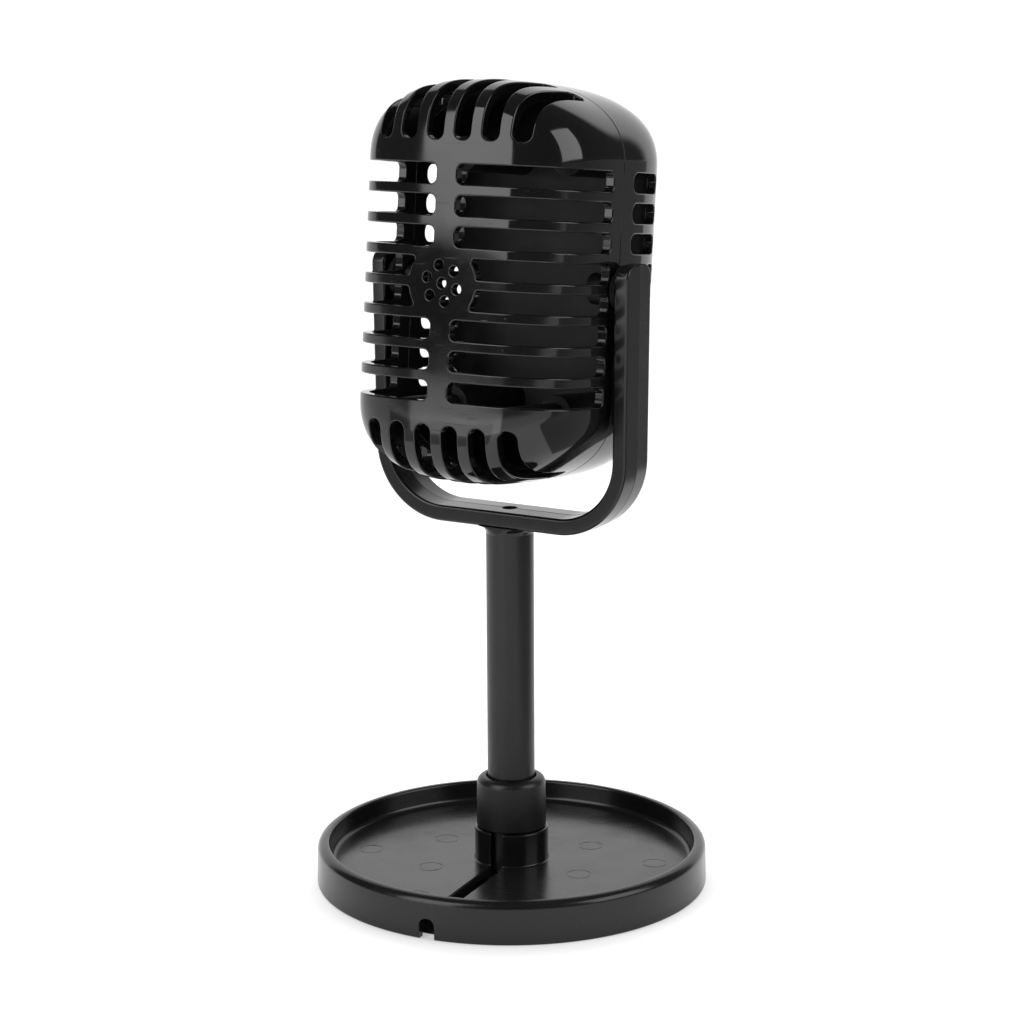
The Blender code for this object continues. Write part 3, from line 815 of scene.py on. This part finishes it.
def collar_piece(material):
    """The stem's collar and its spigot in the base."""
    corners = [(6.32, 27.0, 0.0), (6.6, 27.3, 0.0), (8.75, 27.3, 2.0), (8.9, 14.1, 0.3), (7.8, 14.1, 0.0),
               (7.8, 3.2, 0.3), (1.6, 3.2, 0.2), (1.6, 8.0, 0.2), (6.32, 8.0, 0.0)]
    collar = lathed("collar", rounded_profile(corners, 8), 96, material)
    finish_edges(collar, 0.05, 50, 1)
    return collar


def tube_piece(material):
    """The stem's tube."""
    corners = [(6.02, 92.4, 0.3), (6.02, 8.3, 0.3), (5.02, 8.3, 0.2), (5.02, 92.4, 0.2)]
    bm = bmesh.new()
    spun(bm, rounded_profile(corners, 3), 96)
    for turn in (0, 90, 180, 270):
        before = set(bm.verts)
        spun(bm, rounded_profile([(5.9, 28.0, 0), (6.07, 28.0, 0.04), (6.07, 30.9, 0.04), (5.9, 30.9, 0)], 2),
             4, turn=math.radians(13))
        pad = [vert for vert in bm.verts if vert not in before]
        bmesh.ops.rotate(bm, verts=pad, matrix=Matrix.Rotation(math.radians(turn - 14), 3, "Z"))
    tube = new_object("tube", bm, material)
    finish_edges(tube, 0.05, 50, 1)
    return tube


def yoke_path():
    """Half of the yoke's outside and inside lines as (x, z), from the middle of the bar up the arm."""
    under, bar, arm = 92.7, 4.4, 4.1
    half_width, splay, top = 36.43, 0.61, 160.0
    corner, inner_corner = 19.5, 15.4
    straight = np.linspace(0, half_width - corner, 12)[:-1]
    outside = [(across, under) for across in straight]
    outside += arc((half_width - corner, under + corner), corner, -90, 0, 28)
    inside_line = [(across, under + bar) for across in straight]
    inside_line += arc((half_width - corner, under + bar + inner_corner), inner_corner, -90, 0, 28)
    rise = top - (under + corner)
    for height in np.linspace(under + bar + inner_corner, top - 3.0, 14)[1:]:
        share = (height - (under + corner)) / rise
        edge = half_width + splay * share
        outside.append((edge, height))
        inside_line.append((edge - arm, height))
    return outside, inside_line


def yoke_section(thick, depth):
    """The yoke's section: drafted faces from a fine ridge at the parting line, and rounded edges."""
    draft, ridge, ridge_half, round_r = 0.08, 0.06, 0.14, min(0.7, depth * 0.5)
    corner = (thick - ridge - draft - round_r, depth - round_r)
    quarter = [(thick, 0.0), (thick - ridge, ridge_half)] + arc(corner, round_r, 0, 90, 5)
    upper = quarter + [(-u, v) for u, v in reversed(quarter)]
    lower = [(u, -v) for u, v in reversed(upper)]
    return upper + lower[1:-1]


def yoke_piece(material):
    """The yoke: a bar with a parting line, carried up into both arms, and its foot on the stem."""
    outside, inside_line = yoke_path()
    depth, top_r = 5.85, 3.0
    bm = bmesh.new()

    def ring_at(out, inn, narrower=0.0, thinner=0.0):
        out, inn = Vector((out[0], 0, out[1])), Vector((inn[0], 0, inn[1]))
        middle = (out + inn) / 2
        across = (out - inn).normalized()
        section = yoke_section((out - inn).length / 2 - thinner, depth - narrower)
        return [bm.verts.new(middle + across * u + Vector((0, v, 0))) for u, v in section]

    rings = [ring_at(out, inn) for out, inn in zip(outside, inside_line)]
    last_out, last_in = outside[-1], inside_line[-1]
    slope = 0.61 / (160.0 - 112.2)
    tops = []
    for angle in (15, 30, 45, 60, 72, 80):
        turned = math.radians(angle)
        tops.append((top_r * math.sin(turned), top_r * (1 - math.cos(turned)), 0.0))
    tops += [(2.97, 2.75, 0.1), (2.99, 3.0, 0.3), (3.0, 3.2, 0.6)]
    for lift, drop, thin in tops:
        rings.append(ring_at((last_out[0] + slope * lift, last_out[1] + lift),
                             (last_in[0] + slope * lift, last_in[1] + lift), drop, thin))
    for lower, upper in zip(rings, rings[1:]):
        for index in range(len(lower)):
            after = (index + 1) % len(lower)
            bm.faces.new([lower[index], lower[after], upper[after], upper[index]])
    bm.faces.new(rings[-1])
    mirror_x(bm)
    bmesh.ops.remove_doubles(bm, verts=bm.verts, dist=0.001)
    yoke = new_object("yoke_arms", bm, material)

    hole = [(0, 90), (1.3, 90), (1.3, 94.6), (1.8, 94.6), (1.8, 96.75), (2.2, 97.15), (2.2, 99), (0, 99)]
    subtract(yoke, lathed("hole_tool", hole, 40, material))
    for side in (1, -1):
        bm = bmesh.new()
        spun(bm, [(0, 30), (2.2, 30), (2.2, 35.57), (0, 35.57)], 32, closed=False)
        bmesh.ops.rotate(bm, verts=bm.verts, matrix=Matrix.Rotation(side * math.pi / 2, 3, "Y"))
        bmesh.ops.translate(bm, verts=bm.verts, vec=(0, 0, PIVOT_Z))
        subtract(yoke, new_object("pivot_tool", bm, material))
    foot = bmesh.new()
    spun(foot, [(6.0, 90.8)] + arc((8.1, 90.85), 2.0, 174, 92, 7) + [(8.1, 92.86), (6.0, 92.86)], 96)
    for vert in foot.verts:
        vert.co.y = max(-6.04, min(6.04, vert.co.y))
    flare = new_object("yoke_foot", foot, material)
    joined = bmesh.new()
    joined.from_mesh(yoke.data)
    joined.from_mesh(flare.data)
    joined.to_mesh(yoke.data)
    joined.free()
    bpy.data.objects.remove(flare)
    yoke.data.set_sharp_from_angle(angle=math.radians(32))
    weighted = yoke.modifiers.new("flats", "WEIGHTED_NORMAL")
    weighted.keep_sharp = True
    return yoke


def pin_bosses(name, side, material, place):
    """The half bosses that hold the pivot pins, inside one half of the head."""
    bm = bmesh.new()
    start, end = PIN_BOSS_X
    flange_r, flange_start, flange_end = 3.3, 25.5, 27.4
    profile = [(BORE_R, start, 0.25), (PIN_BOSS_R, start, 0.35), (PIN_BOSS_R, end, 0.0), (BORE_R, end, 0.0),
               (BORE_R, flange_end, 0.15), (flange_r, flange_end, 0.0), (flange_r, flange_start, 0.0),
               (BORE_R, flange_start, 0.15)]
    spun(bm, rounded_profile(profile, 2), 24, turn=math.pi)
    for vert in bm.verts:
        vert.co.y = max(vert.co.y, SPLIT)
    bmesh.ops.rotate(bm, verts=bm.verts, matrix=Matrix.Rotation(math.pi / 2, 3, "Y"))
    bmesh.ops.scale(bm, vec=(1, side, 1), verts=bm.verts)
    mirror_x(bm)
    bosses = new_object(name, bm, material)
    bosses.data.transform(place)
    bosses.data.set_sharp_from_angle(angle=math.radians(40))
    return bosses


def screw(name, profile, recess_r, recess_deep, material):
    """A screw about Z, head up, with a tapered cross recess; profile as (radius, height, rounding)."""
    rounded = rounded_profile(profile, 4)
    made = lathed(name, rounded, 48, material)
    top = max(height for _, height in rounded)
    narrow, wide = recess_r * 0.15, recess_r * 0.21
    for turn in (0, 90):
        bm = bmesh.new()
        facing = Matrix.Rotation(math.radians(turn + 20), 3, "Z")
        apart = turn * 0.0005       # keeps the two bars' ends out of one plane
        rings = []
        for x, y, z in ((recess_r * 0.45, narrow, top - recess_deep - apart),
                        (recess_r * 1.1, wide, top + 0.15 + apart)):
            corners = [(-x, -y, z), (x, -y, z), (x, y, z), (-x, y, z)]
            rings.append([bm.verts.new(facing @ Vector(corner)) for corner in corners])
        bm.faces.new(rings[0])
        bm.faces.new(rings[1])
        for step in range(4):
            after = (step + 1) % 4
            bm.faces.new([rings[0][step], rings[0][after], rings[1][after], rings[1][step]])
        tool = new_object("recess_tool", bm, material)
        tool.data.shade_flat()
        subtract(made, tool)
    finish_edges(made, 0.05, 40, 2)
    return made


def screw_profile(radii, heights, roundings):
    """A screw's half section; radii of head, shank and tip, heights of top, seat, taper and tip."""
    head_r, shank_r, tip_r = radii
    top, seat, taper, tip = heights
    return [(0, top, 0), (head_r, top, roundings[0]), (head_r, seat, roundings[1]), (shank_r, seat, 0.1),
            (shank_r, taper, roundings[2]), (tip_r, tip, 0.1), (0, tip, 0)]


def screw_pieces(material, tilted):
    """All the screws; gives (piece, body, the CAD node it replaces)."""
    made = []
    shell_profile = screw_profile((2.6, 1.2, 0.35), (12.1, 10.3, -7.2, -8.0), (0.9, 0.15, 0.3))
    for row, up in (("upper", 1), ("lower", -1)):
        for label, side in (("left", 1), ("right", -1)):
            name = "shell_screw_" + row + "_" + label
            piece = screw(name + "_look", shell_profile, 1.5, 1.1, material)
            turn = Matrix.Rotation(math.radians(37 * side + 20 * up), 4, "Z")
            stand = Matrix.Rotation(-math.pi / 2, 4, "X")
            shift = Matrix.Translation(Vector((side * SCREW_AT[0], 0, up * SCREW_AT[1])) * MM)
            piece.data.transform(tilted @ shift @ stand @ turn)
            made.append((piece, "head", name))
    base_profile = screw_profile((2.9, 1.3, 0.5), (-0.4, -1.6, -7.0, -7.4), (0.5, 0.1, 0.2))
    piece = screw("base_screw_look", base_profile, 1.6, 0.9, material)
    piece.data.transform(Matrix.Rotation(math.pi, 4, "X"))
    made.append((piece, "stem", "base_screw"))
    yoke_profile = screw_profile((1.5, 1.0, 0.4), (96.2, 94.9, 79.4, 78.7), (0.5, 0.1, 0.2))
    made.append((screw("yoke_screw_look", yoke_profile, 0.9, 0.7, material), "stem", "yoke_screw"))
    return made


# ---------------------------------------------------------------- materials

def node(tree, kind, **settings):
    """Add a node and set it up; in_N is input number N, anything else a setting."""
    made = tree.nodes.new(kind)
    for key, value in settings.items():
        if key.startswith("in_"):
            made.inputs[int(key[3:])].default_value = value
        else:
            setattr(made, key, value)
    return made


def noise(tree, vector, scale, detail, roughness=0.5):
    """Noise at a scale in 1/m, as a value."""
    made = node(tree, "ShaderNodeTexNoise", in_2=scale, in_3=detail, in_4=roughness)
    tree.links.new(vector, made.inputs["Vector"])
    return made.outputs["Fac"]


def remap(tree, value, start, end, low=0.0, high=1.0):
    """A value brought from one range to another and held at its ends."""
    made = node(tree, "ShaderNodeMapRange", in_1=start, in_2=end, in_3=low, in_4=high)
    tree.links.new(value, made.inputs["Value"])
    return made.outputs["Result"]


def math_node(tree, operation, inputs, **settings):
    """A Math node; each input is a number or another node's output."""
    made = node(tree, "ShaderNodeMath", operation=operation, **settings)
    for socket, value in zip(made.inputs, inputs):
        if isinstance(value, float):
            socket.default_value = value
        else:
            tree.links.new(value, socket)
    return made.outputs["Value"]


def two_tones(tree, value, dark, light, start=0.0, end=1.0):
    """A colour that goes from dark to light with a value."""
    made = node(tree, "ShaderNodeValToRGB")
    for element, color, place in zip(made.color_ramp.elements, (dark, light), (start, end)):
        element.position = place
        element.color = (*color, 1)
    tree.links.new(value, made.inputs["Fac"])
    return made.outputs["Color"]


def scratch_mask(tree, place, turn, threshold):
    """Short fine lines that run mostly one way, as a value from 0 to 1."""
    laid = node(tree, "ShaderNodeMapping", in_2=turn, in_3=(70.0, 2600.0, 2600.0))
    tree.links.new(place, laid.inputs["Vector"])
    return remap(tree, noise(tree, laid.outputs["Vector"], 1.0, 0.0), threshold, threshold + 0.05)


def new_material(name):
    """A material with its node tree, its shader and the object's own coordinates."""
    material = bpy.data.materials.new(name)
    material.use_nodes = True
    tree = material.node_tree
    return material, tree, tree.nodes["Principled BSDF"], node(tree, "ShaderNodeTexCoord").outputs["Object"]


def plastic(name, color, rough, grain, ior=1.5, wear=0.12):
    """Moulded plastic: uneven tone and gloss, a moulding grain, fine scratches and a little dust.

    rough holds the roughness of the glossiest and the dullest patches, grain a scale, a strength and a depth.
    """
    material, tree, shader, place = new_material(name)
    shader.inputs["IOR"].default_value = ior
    dark = [value * 0.8 for value in color]
    light = [value * 1.3 for value in color]
    tone = two_tones(tree, noise(tree, place, 35.0, 3.0, 0.55), dark, light, 0.35, 0.7)
    first = scratch_mask(tree, place, (0.2, 0.5, 0.3), 0.8)
    second = scratch_mask(tree, place, (1.3, 0.2, 1.2), 0.81)
    scratches = math_node(tree, "MAXIMUM", (first, second))
    dust = remap(tree, noise(tree, place, 1700.0, 1.0), 0.73, 0.82, 0.0, 0.4)
    shade = node(tree, "ShaderNodeMix", data_type="RGBA", in_7=(0.05, 0.05, 0.048, 1))
    tree.links.new(math_node(tree, "MULTIPLY_ADD", (scratches, wear, dust)), shade.inputs[0])
    tree.links.new(tone, shade.inputs[6])
    tree.links.new(shade.outputs[2], shader.inputs["Base Color"])

    gloss = remap(tree, noise(tree, place, 85.0, 6.0, 0.62), 0.3, 0.75, *rough)
    duller = math_node(tree, "MULTIPLY_ADD", (scratches, wear, gloss), use_clamp=True)
    tree.links.new(duller, shader.inputs["Roughness"])

    raised = node(tree, "ShaderNodeBump", in_0=grain[1], in_1=grain[2])
    tree.links.new(noise(tree, place, grain[0], 2.0), raised.inputs["Height"])
    cut = node(tree, "ShaderNodeBump", invert=True, in_0=0.25, in_1=0.00001)
    tree.links.new(scratches, cut.inputs["Height"])
    tree.links.new(raised.outputs["Normal"], cut.inputs["Normal"])
    tree.links.new(cut.outputs["Normal"], shader.inputs["Normal"])
    return material


def steel(name):
    """Turned steel with fine marks."""
    material, tree, shader, place = new_material(name)
    shader.inputs["Metallic"].default_value = 1.0
    marks = noise(tree, place, 900.0, 3.0)
    tone = two_tones(tree, marks, (0.34, 0.34, 0.36), (0.55, 0.55, 0.57))
    tree.links.new(tone, shader.inputs["Base Color"])
    tree.links.new(remap(tree, marks, 0.3, 0.7, 0.25, 0.42), shader.inputs["Roughness"])
    return material


# ---------------------------------------------------------------- stage

def area_light(name, place, target, size, power):
    """A soft box that faces a target; places in m, size as (wide, tall)."""
    data = bpy.data.lights.new(name, "AREA")
    data.shape = "RECTANGLE"
    data.size, data.size_y = size
    data.energy = power
    light = add_object(name, data)
    light.location = place
    light.rotation_euler = (Vector(target) - Vector(place)).to_track_quat("-Z", "Y").to_euler()


def flat_piece(name, points, height, tone, glow=0.0):
    """A flat sheet of the stage at a height in m, in one grey, with an even glow if wanted."""
    mesh = bpy.data.meshes.new(name)
    mesh.from_pydata([(x, y, 0) for x, y in points], [], [list(range(len(points)))])
    sheet = add_object(name, mesh)
    sheet.location.z = height
    material, _, shader, _ = new_material(name)
    shader.inputs["Base Color"].default_value = (tone, tone, tone, 1)
    shader.inputs["Roughness"].default_value = 0.9
    shader.inputs["Emission Color"].default_value = (1, 1, 1, 1)
    shader.inputs["Emission Strength"].default_value = glow
    mesh.materials.append(material)
    return sheet


def disc(radius):
    turns = [math.tau * index / 64 for index in range(64)]
    return [(radius * math.cos(turn), radius * math.sin(turn)) for turn in turns]


def floor_and_flags():
    """The pale floor, a black card under the base that is painted shade there, and two grey flags that only
    show in reflections.
    """
    flat_piece("floor", disc(40.0), 0.0, 0.62, 0.36)
    # Painted shade: a black sheet under the base, so the floor seen through the notch and the cable slot
    # stays dark.
    flat_piece("painted_shade_card", disc(0.0462), 0.00005, 0.01)
    side_outline = [(0.08, 0.045), (0.6, -0.35), (25.0, 2.0), (15.0, 25.0), (6.0, 18.0), (0.45, 1.2)]
    front_outline = [(-0.31, -0.28), (-3.7, -3.35), (-0.7, -4.95), (-0.06, -0.42)]
    for flag in (flat_piece("side_flag", side_outline, 0.0004, 0.2),
                 flat_piece("front_flag", front_outline, 0.0004, 0.3)):
        flag.visible_camera = False
        flag.visible_diffuse = False
        flag.visible_shadow = False


def surround():
    """A world that looks white; in reflections it is bright behind the object and dark elsewhere."""
    world = bpy.data.worlds.new("surround")
    bpy.context.scene.world = world
    world.use_nodes = True
    tree = world.node_tree
    background = tree.nodes["Background"]
    background.inputs["Color"].default_value = (1, 1, 1, 1)
    direction = node(tree, "ShaderNodeTexCoord")
    behind = node(tree, "ShaderNodeVectorMath", operation="DOT_PRODUCT", in_1=(-0.522, 0.853, 0.0))
    tree.links.new(direction.outputs["Generated"], behind.inputs[0])
    rising = node(tree, "ShaderNodeMapRange", interpolation_type="SMOOTHSTEP", in_1=0.58, in_2=0.68,
                  in_3=0.08, in_4=1.15)
    tree.links.new(behind.outputs["Value"], rising.inputs["Value"])
    seen = node(tree, "ShaderNodeLightPath").outputs["Is Camera Ray"]
    strength = math_node(tree, "MAXIMUM", (rising.outputs["Result"], seen))
    tree.links.new(strength, background.inputs["Strength"])


def lights():
    """Two large soft boxes, a low one at the front, and a wide light from above that makes no highlight."""
    area_light("front_box", (-0.334, -0.969, 0.692), (0, 0, 0.17), (0.72, 0.98), 7.5)
    area_light("low_card", (-0.30, -0.95, 0.075), (0, 0, 0.075), (0.65, 0.15), 0.6)
    area_light("right_box", (1.13, 0.159, 0.66), (0, 0, 0.17), (0.87, 0.9), 7.4)
    data = bpy.data.lights.new("top_light", "SUN")
    data.energy = 3.3
    data.angle = math.radians(70)
    sun = add_object("top_light", data)
    sun.rotation_euler = Vector((-0.25, 0.45, 1.0)).to_track_quat("Z", "Y").to_euler()
    sun.visible_glossy = False


def camera():
    """The photograph's viewing angle: turned about Z, tipped down, and rolled a little."""
    data = bpy.data.cameras.new("camera")
    data.lens = 93.47
    data.sensor_width = 36.0
    data.clip_end = 200.0
    made = add_object("camera", data)
    made.location = (0.3411, -0.5562, 0.2343)
    turn = Matrix.Rotation(math.radians(31.47), 3, "Z")
    tip = Matrix.Rotation(math.radians(78.023), 3, "X")
    roll = Matrix.Rotation(math.radians(-0.31), 3, "Z")
    made.rotation_euler = (turn @ tip @ roll).to_euler()
    bpy.context.scene.camera = made


def stage():
    bpy.context.scene.view_settings.view_transform = "Standard"
    floor_and_flags()
    surround()
    lights()
    camera()


def main():
    gloss = plastic("gloss_black", (0.005, 0.005, 0.0055), (0.04, 0.12), (60.0, 0.15, 0.0001))
    satin = plastic("satin_black", (0.006, 0.006, 0.0063), (0.17, 0.29), (2300.0, 0.25, 0.00003), 1.42)
    dull = plastic("satin_black_stem", (0.006, 0.006, 0.0063), (0.3, 0.42), (2300.0, 0.25, 0.00003), 1.42)
    smooth = plastic("satin_black_yoke", (0.006, 0.006, 0.0063), (0.1, 0.22), (500.0, 0.12, 0.00004), 1.42)
    # The head's inside faces and pin bosses: rougher like the inside of a moulding, and darker in colour with
    # a weaker reflection, which is painted shade inside the head.
    inner = plastic("gloss_black_inside_shaded", (0.0035, 0.0035, 0.0038), (0.4, 0.55), (1400.0, 0.3, 0.00003),
                    1.38, 0.0)
    metal = steel("screw_steel")
    rubber = plastic("black_rubber", (0.004, 0.004, 0.004), (0.7, 0.9), (1200.0, 0.3, 0.00004), 1.3, 0.1)
    finishes = {"gloss_black": gloss, "satin_black": satin, "screw_steel": metal, "black_rubber": rubber}
    for part in frame["record"]["subparts"]:
        mesh = frame["nodes"][part["node"]].data
        mesh.materials.clear()
        mesh.materials.append(finishes[part["material_slot"]])

    tilted = Matrix.Translation((0, 0, PIVOT_Z * MM)) @ Matrix.Rotation(math.radians(HEAD_TILT), 4, "X")
    for name, side, cad in (("head_front", -1, "head_front_shell"), ("head_back", 1, "head_back_shell")):
        skin = head_skin(name, side, (gloss, inner), tilted)
        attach(skin, "head")
        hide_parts(cad)
        bosses = pin_bosses(name + "_pin_bosses", side, inner, tilted)
        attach(bosses, "head")
    for piece, body, cad in ((base_piece(satin), "base", "base_dish"),
                             (collar_piece(dull), "stem", "stem_collar"),
                             (tube_piece(dull), "stem", "stem_tube"),
                             (yoke_piece(smooth), "stem", "yoke")):
        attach(piece, body)
        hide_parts(cad)
    for piece, body, cad in screw_pieces(metal, tilted):
        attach(piece, body)
        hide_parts(cad)
    stage()


main()
